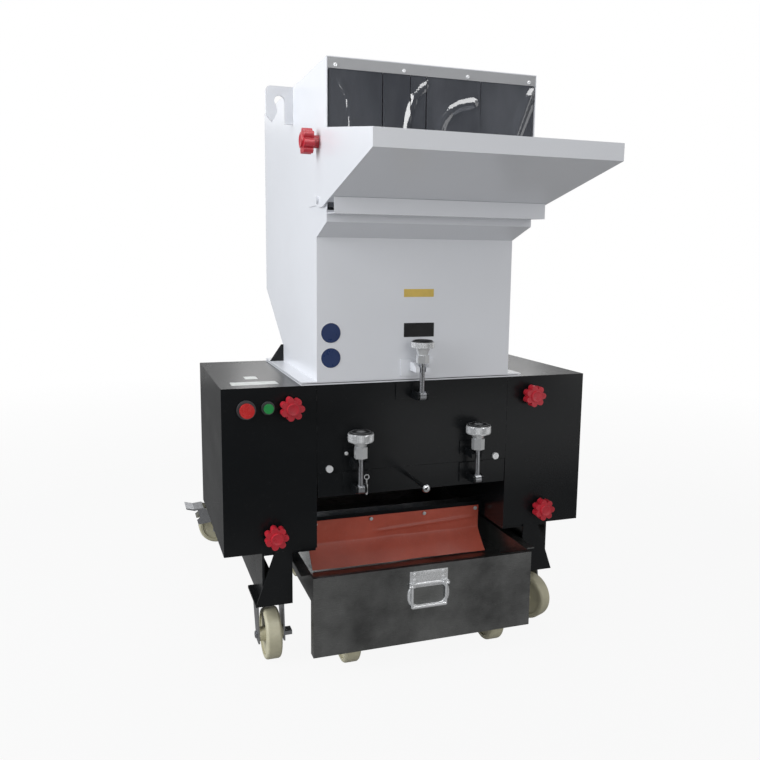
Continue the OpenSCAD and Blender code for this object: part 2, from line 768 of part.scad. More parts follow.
module cap_screws() {
    color(silver) placed() {
        both() rod_y(8.5, 220, [-6, 0], 486);
        rod_y(4, -178.6, [-7, -4], 521.8);
    }
}

// Hopper
hopper_outline = [[-hood_front, hopper_top], [-hood_front, hood_low_z], [0, slope_z], [0, neck_z],
    [neck_d, neck_z], [neck_d, neck_rear_z], [hood_rear, rear_low_z], [hood_rear, hopper_top]];
strip_t = 2;
curtain_t = 2;
header_y = -hood_front + strip_t + curtain_t;
lug_t = 3;
tray_pin_r = 6;
module hopper_body() {
    inner = inset(hopper_outline, sheet_t);
    color(white) placed() {
        difference() {
            union() {
                side_plate([-hopper_w, hopper_w], hopper_outline);
                block([-hopper_w - lug_t, hopper_w + lug_t], [-70, 66], [tray_pivot_z - 10, tray_pivot_z + 10]);
            }
            rod_x(tray_pin_r + run_gap, [-tray_half_w, tray_half_w], -tray_pivot_y, tray_pivot_z);
            side_plate([sheet_t - hopper_w, hopper_w - sheet_t], inner);
            block([sheet_t - hopper_w, hopper_w - sheet_t], [sheet_t, neck_d - sheet_t],
                [neck_z - overrun, neck_z + 2 * sheet_t]);
            block([sheet_t - hopper_w, hopper_w - sheet_t], [-hood_front - overrun, -hood_front + sheet_t + overrun],
                [sill_z, hopper_top - sheet_t]);
        }
        block([sheet_t - hopper_w, hopper_w - sheet_t], [header_y, header_y + sheet_t],
            [hopper_top - strip_h - 2 * sheet_t, hopper_top - sheet_t]);
        difference() {
            block([-flange_half_w, flange_half_w], [1, flange_d], [neck_z - flange_t, neck_z]);
            block([sheet_t - hopper_w, hopper_w - sheet_t], [sheet_t, neck_d - sheet_t],
                [neck_z - flange_t - overrun, neck_z + overrun]);
        }
        block([-fork_pad_half_w, fork_pad_half_w], [-clamp_pad_t, 0],
            [neck_z + fork_pad_up, neck_z + fork_pad_up + fork_pad_h]);
        prongs(0, top_pivot_z + top_reach);
    }
}
fork_pad_half_w = 42;
fork_pad_up = 6;
fork_pad_h = 41;
module hopper_hinge() {
    color(black) placed() both() {
        front_plate([neck_d - 6, neck_d], [[hopper_w, neck_z], [flange_half_w, neck_z], [hopper_w + 6, neck_z + 46],
            [hopper_w, neck_z + 46]]);
        difference() {
            union() {
                block([hinge_x[1] + seat_gap, hinge_x[1] + 26], [neck_d, hopper_axis_y],
                    [neck_z, neck_z + 10]);
                rod_x(hinge_r, [hinge_x[1] + seat_gap, hinge_x[1] + 26], hopper_axis_y, hopper_axis_z);
            }
        }
        rod_x(cradle_pin_r, [hinge_x[0] - 4, hinge_x[1] + 20], hopper_axis_y, hopper_axis_z);
    }
}
hinge_x = [150, 176];
hinge_r = 14;
hopper_axis_y = case_d + 18;
hopper_axis_z = neck_z + 2;
module gutter() {
    front = 150;
    low = 1080;
    rim = floor_z(front) - seat_gap;
    color(white) placed() side_plate([-hopper_w, hopper_w],
        [[-hood_front, sill_z - 6], [-hood_front, sill_z - 6 - sheet_t], [-front - sheet_t, low - sheet_t],
         [-front - sheet_t, rim], [-front, rim], [-front, low]]);
}
module hook_bracket() {
    hook_y = 250;
    color(white) placed() translate([-hopper_w, hook_y, hopper_top]) rotate([90, 0, 0])
        linear_extrude(8) difference() {
            union() {
                translate([-68.5, -50]) square([68.5, 38]);
                translate([-56.5, -12]) square([56.5, 12]);
                translate([-56.5, -12]) circle(12);
                polygon([[-68.5, -49], [-68.5, -70], [-53, -87], [-40, -70], [-40, -49]]);
                translate([-21, -90]) square([21, 45]);
            }
            translate([-34, -35]) circle(13);
            polygon([[-47, -35], [-39, -60], [-52, -87], [-21, -91], [-21, -35]]);
        }
}
module mouth_strip() {
    color(white) placed() {
        block([sheet_t - hopper_w + seat_gap, hopper_w - sheet_t - seat_gap], [-hood_front, -hood_front + strip_t],
            [hopper_top - sheet_t - strip_h, hopper_top - sheet_t - seat_gap]);
    }
}
slits = [-124, -60, -22, 110];
module mouth_curtain() {
    edge = hopper_w - sheet_t - 2;
    color("#41444a", 0.6) placed() difference() {
        block([-edge, edge], [-hood_front + strip_t, -hood_front + strip_t + curtain_t],
            [sill_z + 6, hopper_top - sheet_t - 2]);
        for (x = slits)
            block([x, x + overrun], [-hood_front, 0], [sill_z, hopper_top - strip_h - 3 * sheet_t]);
    }
}

// Feed tray, hung on two pivot bolts outside the hood
wing_in = hopper_w + lug_t + seat_gap;
floor_rise = (lip_low_z - tray_pivot_z + 17) / (tray_front - tray_pivot_y - 35);
function floor_z(y) = lip_low_z - (tray_front - y) * floor_rise;
tray_knob_z = 1236;
module feed_tray() {
    wing = [[-tray_front, lip_low_z], [-tray_front, lip_low_z + lip_h], [-120, wing_top_z - 14], [-26, wing_top_z],
        [-24, tray_pivot_z - 14], [-tray_pivot_y - 35, tray_pivot_z - 17]];
    color(white) placed() {
        both() {
            difference() {
                side_plate([wing_in, tray_half_w], [for (i = [len(wing) - 1:-1:0]) wing[i]]);
                rod_x(stud_r + run_gap, [wing_in - overrun, tray_half_w + overrun], -tray_pivot_y - 3, tray_knob_z);
            }
            rod_x(tray_pin_r, [hopper_w - sheet_t, tray_half_w], -tray_pivot_y, tray_pivot_z);
            rod_x(tray_pin_r + 2, [tray_half_w - overrun, tray_half_w + 5], -tray_pivot_y, tray_pivot_z);
        }
        side_plate([-wing_in - overrun, wing_in + overrun],
            [[-tray_front, lip_low_z], [-tray_rear, floor_z(tray_rear)],
             [-tray_rear, floor_z(tray_rear) + tray_t], [-tray_front, lip_low_z + tray_t]]);
        block([-wing_in - overrun, wing_in + overrun], [-tray_front, -tray_front + tray_t],
            [lip_low_z, lip_low_z + lip_h]);
    }
}
module tray_knob(side) {
    color(red) placed() translate([side * tray_half_w, -tray_pivot_y - 3, tray_knob_z])
        rotate([0, side * 90, 0]) star_knob(tray_half_w - wing_in);
}
module tray_knob_left() { tray_knob(-1); }
module tray_knob_right() { tray_knob(1); }

// Splash curtain, bent forward where it meets the bin's floor
curtain_low = bin_floor_z + bin_t + 3;
splash_t = 3;
splash_half_w = 241;
splash_lap = 20;
splash_bend_z = base_top - 40;
splash_reach = 50;
module splash_curtain() {
    color("#d2452c") placed() side_plate([-splash_half_w, splash_half_w],
        [[bar_y - splash_t, base_top + splash_lap], [bar_y - splash_t, splash_bend_z],
         [bar_y - splash_reach, curtain_low], [bar_y - splash_reach + splash_t * 4 / 3, curtain_low],
         [bar_y, splash_bend_z - splash_t / 3], [bar_y, base_top + splash_lap]]);
}

// Bin
rail_low = caster_h;
bin_wheel_x = 192;
bin_wheel_shift = 14;
bin_pins = [-15, bin_rear - 70];
module bin_body() {
    color(steel) placed() {
        block([-bin_w, bin_w], [-bin_front, -bin_front + bin_t], [apron_low_z, bin_top]);
        block([-bin_w, bin_w], [-bin_front, -bin_front + 12], [bin_top - bin_t, bin_top]);
        both() {
            block([bin_w - bin_t, bin_w], [-bin_front, -bin_front + return_d], [apron_low_z, bin_top]);
            block([bin_w - bin_t, bin_w], [-bin_front, bin_rear], [bin_floor_z, bin_top]);
            block([bin_w - bin_t, rim_w], [-bin_front + return_d, bin_rear], [bin_top - bin_t, bin_top]);
            block([bin_wheel_x - 22, bin_wheel_x + 22], [-bin_front + bin_t, bin_rear],
                [bin_floor_z - bin_t, bin_floor_z + overrun]);
            block([bin_wheel_x + 19, bin_wheel_x + 22], [-bin_front + bin_t, bin_rear],
                [rail_low + 4, bin_floor_z]);
            block([bin_wheel_x - 34, bin_wheel_x + 22], [-bin_front + bin_t, bin_rear],
                [rail_low, rail_low + 4]);
        }
        block([-bin_w, bin_w], [-bin_front, bin_rear], [bin_floor_z, bin_floor_z + bin_t]);
        block([-bin_w, bin_w], [bin_rear - bin_t, bin_rear], [bin_floor_z, bin_top]);
    }
}
bail_z = 206;
module handle_plate() {
    face = -bin_front - 3;
    color(silver) placed() {
        difference() {
            block([-50, 56], [face, -bin_front], [150, 242]);
            block([-36, 42], [face - overrun, face + 2], [160, 198]);
        }
        for (x = [-50, 50]) difference() {
            block([x, x + 6], [face - 9, face], [bail_z - 7, bail_z + 7]);
            rod_x(3 + run_gap, [x - overrun, x + 6 + overrun], face - 5, bail_z);
        }
    }
}
module bail_handle() {
    face = -bin_front - 3;
    r = 3;
    low = 154;
    color(silver) placed() {
        rod_x(r, [-49, -40], face - 5, bail_z);
        rod_x(r, [46, 55], face - 5, bail_z);
        for (x = [-41, 47]) {
            rod_z(r, x, face - 5, [low, bail_z]);
            translate([x, face - 5, low]) sphere(r);
            translate([x, face - 5, bail_z]) sphere(r);
        }
        rod_x(r + 1, [-41, 47], face - 5, low);
    }
}
fork_gap = 29.5;
fork_t = 4;
axle_r = 6;
module fork_sides(crown_z, pin_y) {
    for (s = [-1, 1])
        side_plate([s * (fork_gap + fork_t / 2) - fork_t / 2, s * (fork_gap + fork_t / 2) + fork_t / 2],
            [[-18, caster_r - 18], [18, caster_r - 18], [pin_y + 34, crown_z], [pin_y - 34, crown_z]]);
    rod_x(axle_r, [-fork_gap - fork_t - 6, fork_gap + fork_t + 6], 0, caster_r);
    for (s = [-1, 1])
        translate([s * (fork_gap + fork_t + 2.5), 0, caster_r]) rotate([0, 90, 0])
            cylinder(r = 10, h = 5, center = true, $fn = 6);
}
module wheel() {
    edge = 7;
    hub_r = 17;
    rotate([0, 90, 0]) rotate_extrude() difference() {
        union() {
            translate([axle_r + run_gap, -fork_gap + seat_gap])
                square([hub_r - axle_r, 2 * (fork_gap - seat_gap)]);
            translate([axle_r + run_gap, -caster_w / 2])
                square([caster_r - edge - axle_r - run_gap, caster_w]);
            translate([caster_r - edge - overrun, -caster_w / 2 + edge])
                square([edge + overrun, caster_w - 2 * edge]);
            for (s = [-1, 1])
                translate([caster_r - edge, s * (caster_w / 2 - edge)]) circle(edge);
        }
        for (s = [-1, 1])
            translate([(hub_r + caster_r - 10) / 2, s * caster_w / 2]) square([caster_r - 10 - hub_r - 4, 8], center = true);
    }
}
// Foot pedal of the brake on the bin's front left wheel, short of where the leg's caster turns
pedal_l = 54;
pedal_w = 26;
pedal_t = 8;
pedal_z = 86;
module bin_forks() {
    crown = rail_low - 4;
    color(silver) placed() for (s = [-1, 1], y = bin_pins)
        translate([s * bin_wheel_x + bin_wheel_shift, y, 0]) {
            fork_sides(crown, 0);
            block([-fork_gap - fork_t, fork_gap + fork_t], [-34, 34], [crown, rail_low]);
            if (s < 0 && y < 0)
                block([-fork_gap - pedal_l, -fork_gap], [0, pedal_w], [pedal_z, pedal_z + pedal_t]);
        }
}
module bin_wheel_pair(y) {
    for (s = [-1, 1])
        translate([s * bin_wheel_x + bin_wheel_shift, y, caster_r]) wheel();
}
module bin_wheels_front() { color(cream) placed() bin_wheel_pair(bin_pins[0]); }
module bin_wheels_rear() { color(cream) placed() bin_wheel_pair(bin_pins[1]); }

// Swivel casters: the wheel trails toward -Y before the turn
module caster_fork() {
    crown_top = rail_z - swivel_plate_t - seat_gap;
    translate([0, -trail, 0]) fork_sides(crown_top - 4, trail);
    block([-fork_gap - fork_t, fork_gap + fork_t], [-34, 34], [crown_top - 4, crown_top]);
    rod_z(22, 0, 0, [crown_top - 8, crown_top]);
    rod_z(kingpin_r, 0, 0, [crown_top - overrun, rail_z - overrun]);
}
module side_brake() {
    block([fork_gap + fork_t, fork_gap + fork_t + 18], [-trail - 14, -trail + 12], [caster_r - 6, caster_r + 4]);
}
module top_brake() {
    y0 = -trail - caster_r;
    for (s = [-1, 1])
        side_plate([s * (fork_gap + fork_t + 2) - 2, s * (fork_gap + fork_t + 2) + 2],
            [[-trail + 4, caster_r + 22], [y0 - 4, caster_r + 14], [y0 - 8, caster_r + 30], [y0 + 2, caster_r + 38],
             [y0 - 6, 129], [y0 + 14, 132], [-trail + 4, 112]]);
    side_plate([-fork_gap - fork_t - 4, fork_gap + fork_t + 4],
        [[y0 - 44, 138], [y0 - 42, 133], [y0 - 16, 126], [y0 + 14, 130], [y0 + 14, 134], [y0 - 16, 131]]);
}
caster_places = [[-pin_x, front_pin_y, 0], [pin_x, front_pin_y, 25], [-pin_x, rear_pin_y, -90],
    [pin_x, rear_pin_y, 90]];
module at_caster(i) {
    placed() translate([caster_places[i][0], caster_places[i][1], 0]) rotate(caster_places[i][2]) children();
}
module fork_front_left() { color(silver) at_caster(0) { caster_fork(); side_brake(); } }
module fork_front_right() { color(silver) at_caster(1) { caster_fork(); side_brake(); } }
module fork_rear_left() { color(silver) at_caster(2) { caster_fork(); top_brake(); } }
module fork_rear_right() { color(silver) at_caster(3) { caster_fork(); top_brake(); } }
module swivel_wheel(i) { color(cream) at_caster(i) translate([0, -trail, caster_r]) wheel(); }
module wheel_front_left() { swivel_wheel(0); }
module wheel_front_right() { swivel_wheel(1); }
module wheel_rear_left() { swivel_wheel(2); }
module wheel_rear_right() { swivel_wheel(3); }

base_rails();
leg_plates();
chamber_walls();
chamber_flange();
fixed_knives();
bearing_housings();
left_cover();
right_cover();
hinge_brackets();
clamp_brackets();
control_box();
motor();
cover_stays();
drive_belts();
splash_curtain();
cap_screws();
rotor_shaft();
rotor_carriers();
rotor_knives();
flywheel();
rotor_pulley();
motor_pulley();
screen_cradle();
screen();
pull_rod();
hopper_body();
gutter();
hook_bracket();
mouth_strip();
mouth_curtain();
hopper_hinge();
feed_tray();
tray_knob_left();
tray_knob_right();
top_bolt();
top_knob();
left_bolt();
left_knob();
right_bolt();
right_knob();
cover_knob_upper_left();
cover_knob_upper_right();
cover_knob_lower_left();
cover_knob_lower_right();
red_button();
green_button();
bin_body();
handle_plate();
bail_handle();
bin_forks();
bin_wheels_front();
bin_wheels_rear();
fork_front_left();
fork_front_right();
fork_rear_left();
fork_rear_right();
wheel_front_left();
wheel_front_right();
wheel_rear_left();
wheel_rear_right();
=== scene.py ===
import json
import math

import bmesh
import bpy
from mathutils import Matrix, Vector

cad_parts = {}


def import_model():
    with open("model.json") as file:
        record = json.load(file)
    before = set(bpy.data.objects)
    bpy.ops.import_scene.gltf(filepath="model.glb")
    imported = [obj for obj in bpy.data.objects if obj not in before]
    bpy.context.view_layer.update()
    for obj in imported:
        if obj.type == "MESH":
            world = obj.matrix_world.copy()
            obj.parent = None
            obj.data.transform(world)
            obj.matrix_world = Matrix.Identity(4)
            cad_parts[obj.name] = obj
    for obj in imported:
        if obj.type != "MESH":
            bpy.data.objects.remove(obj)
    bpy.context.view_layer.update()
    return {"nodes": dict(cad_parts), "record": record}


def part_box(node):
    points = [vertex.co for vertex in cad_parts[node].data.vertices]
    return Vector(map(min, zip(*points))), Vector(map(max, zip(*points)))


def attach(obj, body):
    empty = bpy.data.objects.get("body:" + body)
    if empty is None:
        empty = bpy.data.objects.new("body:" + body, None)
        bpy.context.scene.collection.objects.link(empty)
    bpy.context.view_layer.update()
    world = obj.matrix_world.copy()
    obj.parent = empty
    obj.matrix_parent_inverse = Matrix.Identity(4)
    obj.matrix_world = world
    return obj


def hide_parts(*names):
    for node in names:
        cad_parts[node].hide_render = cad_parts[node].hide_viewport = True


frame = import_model()
NODES = frame["nodes"]
SLOT_OF = {row["node"]: row["material_slot"] for row in frame["record"]["subparts"]}
UP = Vector((0, 0, 1))
Y_AXIS = Vector((0, 1, 0))
FRONT = Vector((0, -1, 0))
LEFT = Vector((-1, 0, 0))
MIDDLE_Y = 260


def at(x, y, z):
    """Millimetres from the middle of the case's front edge, on the floor, in the shared frame's metres."""
    return Vector((x, y - MIDDLE_Y, z)) / 1000


def mm(value):
    return value / 1000


def mm_pairs(pairs):
    return [(mm(a), mm(b)) for a, b in pairs]


# Camera, at the photograph's place
CAMERA_SPOT = at(-683.2, -1745.4, 988.7)
CAMERA_RIGHT = Vector((0.94563, -0.32525, 0))
CAMERA_UP = Vector((0.04779, 0.13895, 0.98914))
CAMERA_AHEAD = Vector((0.32172, 0.93536, -0.14694))
CAMERA_ROLL = math.radians(0.596)


def camera():
    x = CAMERA_RIGHT * math.cos(CAMERA_ROLL) + CAMERA_UP * math.sin(CAMERA_ROLL)
    y = CAMERA_UP * math.cos(CAMERA_ROLL) - CAMERA_RIGHT * math.sin(CAMERA_ROLL)
    data = bpy.data.cameras.new("camera")
    data.sensor_width = 36
    data.lens = 36.72
    data.shift_x = -0.0058
    data.shift_y = -0.0103
    obj = bpy.data.objects.new("camera", data)
    turn = Matrix((x, y, -CAMERA_AHEAD)).transposed().to_4x4()
    obj.matrix_world = Matrix.Translation(CAMERA_SPOT) @ turn
    bpy.context.scene.collection.objects.link(obj)
    bpy.context.scene.camera = obj


camera()


# Materials
def node(tree, kind, inputs=None, **settings):
    made = tree.nodes.new(kind)
    for key, value in settings.items():
        setattr(made, key, value)
    for key, value in (inputs or {}).items():
        if isinstance(value, bpy.types.NodeSocket):
            tree.links.new(value, made.inputs[key])
        else:
            made.inputs[key].default_value = value
    return made


def rgb(color, share=1.0):
    return (*(min(1.0, c * share) for c in color), 1.0)


class Finish:
    """A material's tree, with short calls for what the finishes share."""

    def __init__(self, name, **sockets):
        self.material = bpy.data.materials.new(name)
        self.material.use_nodes = True
        self.tree = self.material.node_tree
        self.shader = self.tree.nodes["Principled BSDF"]
        for key, value in sockets.items():
            self.shader.inputs[key.replace("_", " ")].default_value = value
        self.place = node(self.tree, "ShaderNodeTexCoord").outputs["Object"]

    def noise(self, scale, detail=4.0, rough=0.55, stretch=None):
        vector = self.place
        if stretch:
            values = {"Vector": vector, "Scale": stretch}
            vector = node(self.tree, "ShaderNodeMapping", values).outputs[0]
        values = {"Vector": vector, "Scale": scale, "Detail": detail, "Roughness": rough}
        return node(self.tree, "ShaderNodeTexNoise", values).outputs["Fac"]

    def spread(self, value, low, high, to_low, to_high):
        values = {0: value, 1: low, 2: high, 3: to_low, 4: to_high}
        return node(self.tree, "ShaderNodeMapRange", values).outputs[0]

    def calc(self, operation, a, b=0.0):
        return node(self.tree, "ShaderNodeMath", {0: a, 1: b}, operation=operation).outputs[0]

    def blend(self, share, a, b):
        values = {0: share, 6: a, 7: b}
        return node(self.tree, "ShaderNodeMix", values, data_type="RGBA").outputs[2]

    def link(self, value, socket):
        self.tree.links.new(value, self.shader.inputs[socket])

    def bump(self, height, depth, strength=1.0):
        values = {"Height": height, "Distance": depth, "Strength": strength}
        self.link(node(self.tree, "ShaderNodeBump", values).outputs[0], "Normal")

    def edges(self, radius, grain=60.0):
        """Near 1 along the worn parts of outer edges, near 0 elsewhere."""
        rounded = node(self.tree, "ShaderNodeBevel", {"Radius": radius}, samples=4).outputs[0]
        flat = node(self.tree, "ShaderNodeNewGeometry").outputs["Normal"]
        both = {0: rounded, 1: flat}
        turned = node(self.tree, "ShaderNodeVectorMath", both, operation="DOT_PRODUCT")
        worn = self.spread(turned.outputs["Value"], 0.97, 0.86, 0.0, 1.0)
        patchy = self.spread(self.noise(grain, 6.0, 0.7), 0.5, 0.62, 0.0, 1.0)
        return self.calc("MULTIPLY", worn, patchy)


DUST = (0.42, 0.41, 0.39)
CHALK = (0.55, 0.42, 0.38)


def painted(
    name, color, rough, worn, bare, peel=260.0, depth=0.00006, specular=0.5, dust=0.12, tone=0.06, vary=0.15
):
    """Powder coat: fine orange peel, a little dust and handling, and edges rubbed to bare."""
    made = Finish(name, Specular_IOR_Level=specular, IOR=1.45)
    patches = made.spread(made.noise(3.1, 5.0), 0.3, 0.7, 0.0, 1.0)
    coat = made.blend(patches, rgb(color, 1 - tone), rgb(color, 1 + tone))
    specks = made.spread(made.noise(95.0, 8.0, 0.75), 0.6, 0.75, 0.0, dust)
    dusty = made.blend(specks, coat, rgb(DUST))
    if worn > 0:
        share = made.calc("MULTIPLY", made.edges(0.0012), worn)
        dusty = made.blend(share, dusty, rgb(bare))
    made.link(dusty, "Base Color")
    smear = made.noise(5.5, 7.0, 0.62, (1.0, 1.0, 2.4))
    made.link(made.spread(smear, 0.3, 0.75, rough - vary / 3, rough + vary * 2 / 3), "Roughness")
    made.bump(made.noise(peel, 2.0, 0.4), depth)
    return made.material


def metal(name, color, rough, grain, depth=0.00003, cut=900.0, stain=0.12, metallic=1.0):
    """Metal with a machined or brushed grain that runs along grain."""
    made = Finish(name, Metallic=metallic)
    along = tuple(0.03 if g else 1.0 for g in grain)
    lines = made.noise(cut, 3.0, 0.6, along)
    clouds = made.spread(made.noise(9.0, 6.0, 0.6), 0.3, 0.7, 0.0, 1.0)
    tint = made.blend(clouds, rgb(color, 1 - stain), rgb(color, 1 + stain * 0.5))
    streaks = made.spread(lines, 0.35, 0.65, 0.0, 0.16)
    made.link(made.blend(streaks, tint, rgb(color, 0.55)), "Base Color")
    made.link(made.spread(lines, 0.3, 0.7, rough - 0.06, rough + 0.09), "Roughness")
    made.bump(lines, depth)
    return made.material


def plastic(name, color, rough, grain=500.0, depth=0.00002, specular=0.5):
    made = Finish(name, Specular_IOR_Level=specular)
    patches = made.spread(made.noise(22.0, 5.0), 0.3, 0.7, 0.0, 1.0)
    tint = made.blend(patches, rgb(color, 0.86), rgb(color, 1.08))
    scuff = made.calc("MULTIPLY", made.edges(0.0015, 140.0), 0.35)
    made.link(made.blend(scuff, tint, rgb(tuple(0.3 + 0.6 * c for c in color))), "Base Color")
    made.link(made.spread(made.noise(60.0, 6.0, 0.7), 0.3, 0.7, rough - 0.07, rough + 0.1), "Roughness")
    made.bump(made.noise(grain, 3.0), depth)
    return made.material


def rubber(name, color, rough):
    made = Finish(name, Specular_IOR_Level=0.4)
    patches = made.spread(made.noise(7.0, 7.0, 0.65), 0.3, 0.7, 0.0, 1.0)
    tint = made.blend(patches, rgb(color, 0.82), rgb(color, 1.1))
    chalk = made.spread(made.noise(160.0, 6.0, 0.7, (1.0, 1.0, 0.4)), 0.58, 0.8, 0.0, 0.22)
    made.link(made.blend(chalk, tint, rgb(CHALK)), "Base Color")
    made.link(made.spread(made.noise(14.0, 6.0), 0.3, 0.7, rough - 0.08, rough + 0.08), "Roughness")
    made.bump(made.noise(420.0, 3.0), 0.00004)
    return made.material


def clear_sheet(name):
    """Smoky clear PVC, scratched along its hang."""
    made = Finish(name, Transmission_Weight=0.2, IOR=1.5, Coat_Weight=1.0)
    haze = made.spread(made.noise(6.0, 6.0, 0.6, (1.0, 1.0, 0.35)), 0.35, 0.7, 0.0, 1.0)
    made.link(made.blend(haze, rgb((0.07, 0.075, 0.088)), rgb((0.14, 0.147, 0.165))), "Base Color")
    made.link(made.spread(made.noise(240.0, 5.0, 0.6, (1.0, 1.0, 0.08)), 0.4, 0.7, 0.03, 0.08), "Roughness")
    made.bump(made.noise(16.0, 2.0, 0.5, (1.0, 1.0, 0.5)), 0.0015, 0.5)
    return made.material


BLACK = (0.0075, 0.0085, 0.0095)
WHITE = (0.735, 0.75, 0.785)
EVEN = (0, 0, 0)  # a metal with no grain of its own
ALONG_X = (1, 0, 0)
FINISHES = {
    "black_paint": painted(
        "black_coat", BLACK, 0.24, 0.35, (0.16, 0.16, 0.17), specular=0.32, dust=0.03, vary=0.07
    ),
    "white_paint": painted(
        "white_coat", WHITE, 0.24, 0.2, (0.5, 0.51, 0.53), dust=0.0, tone=0.015, vary=0.03
    ),
    "motor_paint": painted(
        "motor_coat", (0.045, 0.1, 0.16), 0.38, 0.4, (0.25, 0.26, 0.27), peel=420.0
    ),
    "cast_iron": painted(
        "cast_iron", (0.09, 0.09, 0.092), 0.5, 0.5, (0.35, 0.35, 0.35), peel=520.0, depth=0.00025
    ),
    "tool_steel": metal("tool_steel", (0.52, 0.53, 0.54), 0.3, ALONG_X),
    "machined_steel": metal("machined_steel", (0.5, 0.51, 0.52), 0.26, (0, 1, 1)),
    "bezel_steel": painted("bezel_coat", (0.06, 0.062, 0.065), 0.35, 0.3, (0.4, 0.4, 0.4)),
    "belt_rubber": rubber("belt_rubber", (0.018, 0.018, 0.019), 0.62),
    "curtain_rubber": rubber("curtain_rubber", (0.62, 0.125, 0.08), 0.36),
    "clear_pvc": clear_sheet("smoky_pvc"),
    "chrome_trim": metal("chrome", (0.78, 0.79, 0.8), 0.12, EVEN, 0.000006, 200.0, 0.05, 0.6),
    "zinc": metal("zinc_plate", (0.46, 0.47, 0.49), 0.3, EVEN, 0.00003, 320.0, 0.2),
    "red_plastic": plastic("red_plastic", (0.5, 0.02, 0.035), 0.3),
    "red_button": plastic("red_button", (0.55, 0.02, 0.02), 0.25),
    "green_button": plastic("green_button", (0.02, 0.3, 0.07), 0.25),
    "stainless": metal("brushed_stainless", (0.225, 0.228, 0.225), 0.3, ALONG_X, 0.00003, 1100.0, 0.5),
    "cream_nylon": plastic("cream_nylon", (0.56, 0.53, 0.38), 0.42, 300.0, 0.00005),
}
STRIP_COAT = painted("strip_coat", (0.37, 0.375, 0.385), 0.3, 0.3, (0.5, 0.5, 0.5))
BRIGHT_STEEL = metal("bright_screw_steel", (0.84, 0.85, 0.86), 0.36, EVEN, 0.00001, 300.0, 0.1, 0.35)
ROD_CHROME = metal("rod_chrome", (0.72, 0.73, 0.74), 0.12, EVEN, 0.000006, 200.0, 0.05)
KNURLED = metal("knurled_chrome", (0.78, 0.79, 0.8), 0.24, EVEN, 0.00002, 500.0, 0.08, 0.55)
# Steel darkened to paint the shade in the hollow of the handle's dish; the real dish is bright steel
DISH_PAINTED_SHADE = metal("dish_steel_painted_shade", (0.25, 0.255, 0.25), 0.3, ALONG_X, 0.00004, 700.0, 0.3, 0.9)
BLUE_FILM = plastic("blue_film", (0.012, 0.035, 0.13), 0.3, 200.0)
WHITE_FILM = plastic("white_film", (0.75, 0.76, 0.78), 0.35, 200.0)
YELLOW_FILM = plastic("yellow_film", (0.72, 0.5, 0.08), 0.35, 200.0)
# Black plastic for the hand nuts' caps and the black strip, and also for the disc of painted shade behind the
# motor's fan guard
BLACK_FILM_AND_PAINTED_SHADE = plastic("black_film_and_painted_shade", (0.012, 0.012, 0.013), 0.32, 200.0)
PALE_FILM = plastic("pale_film", (0.55, 0.57, 0.55), 0.4, 200.0)

OWN_FINISH = {"mouth_strip": STRIP_COAT, "cap_screws": BRIGHT_STEEL, "pull_rod": ROD_CHROME}
for name, obj in NODES.items():
    obj.data.materials.clear()
    obj.data.materials.append(OWN_FINISH.get(name, FINISHES[SLOT_OF[name]]))


# Pieces
def circle(center, side, across, radius, steps):
    turns = (2 * math.pi * j / steps for j in range(steps))
    return [center + (side * math.cos(t) + across * math.sin(t)) * radius for t in turns]


def rounded_corners(half_u, half_v, corner, cuts):
    """The points (u, v) around a rectangle with rounded corners."""
    for su, sv, start in ((1, 1, 0), (-1, 1, 90), (-1, -1, 180), (1, -1, 270)):
        for step in range(cuts + 1):
            a = math.radians(start + 90 * step / cuts)
            yield su * (half_u - corner) + corner * math.cos(a), sv * (half_v - corner) + corner * math.sin(a)


